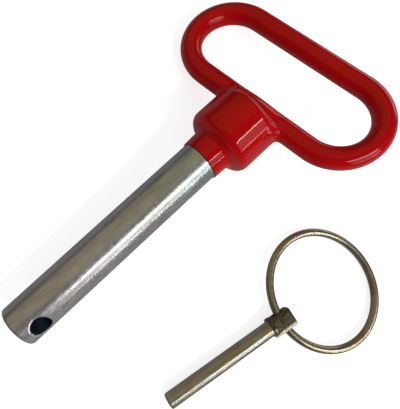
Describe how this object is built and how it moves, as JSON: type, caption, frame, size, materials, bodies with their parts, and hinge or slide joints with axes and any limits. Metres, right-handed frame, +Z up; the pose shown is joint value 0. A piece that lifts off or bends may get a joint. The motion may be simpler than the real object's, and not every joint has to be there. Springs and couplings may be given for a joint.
{
  "type": "hitch pin with linch pin",
  "caption": "Round steel hitch pin with a red dipped loop handle and a cross hole, lying beside its ring linch pin.",
  "frame": {"origin": "middle of the whole set's footprint, on the surface it lies on", "axes": "+X from the pin's tip towards its handle, over the ground; +Z up from the surface it lies on; +Y towards the end of the handle that rests on the surface"},
  "size_m": [0.1876, 0.1704, 0.0375],
  "materials": {
    "zinc_steel": "satin clear zinc plate",
    "bare_steel": "bare, under the coat",
    "red_coat": "glossy dip",
    "yellow_zinc": "yellow zinc plate",
    "spring_wire": "yellow zinc plate"
  },
  "bodies": {
    "hitch_pin": {"pin_forging": "zinc_steel", "handle_rod": "bare_steel", "handle_weld": "bare_steel", "handle_coat": "red_coat", "linch_pin": "yellow_zinc"},
    "ring": {"linch_ring": "spring_wire"}
  },
  "joints": [
    {"name": "ring_swing", "type": "hinge", "parent": "hitch_pin", "child": "ring", "pos_m": [-0.00994, -0.05035, 0.00482], "axis": [-0.1908, -0.9816, 0], "range_deg": [-166, 178]}
  ]
}
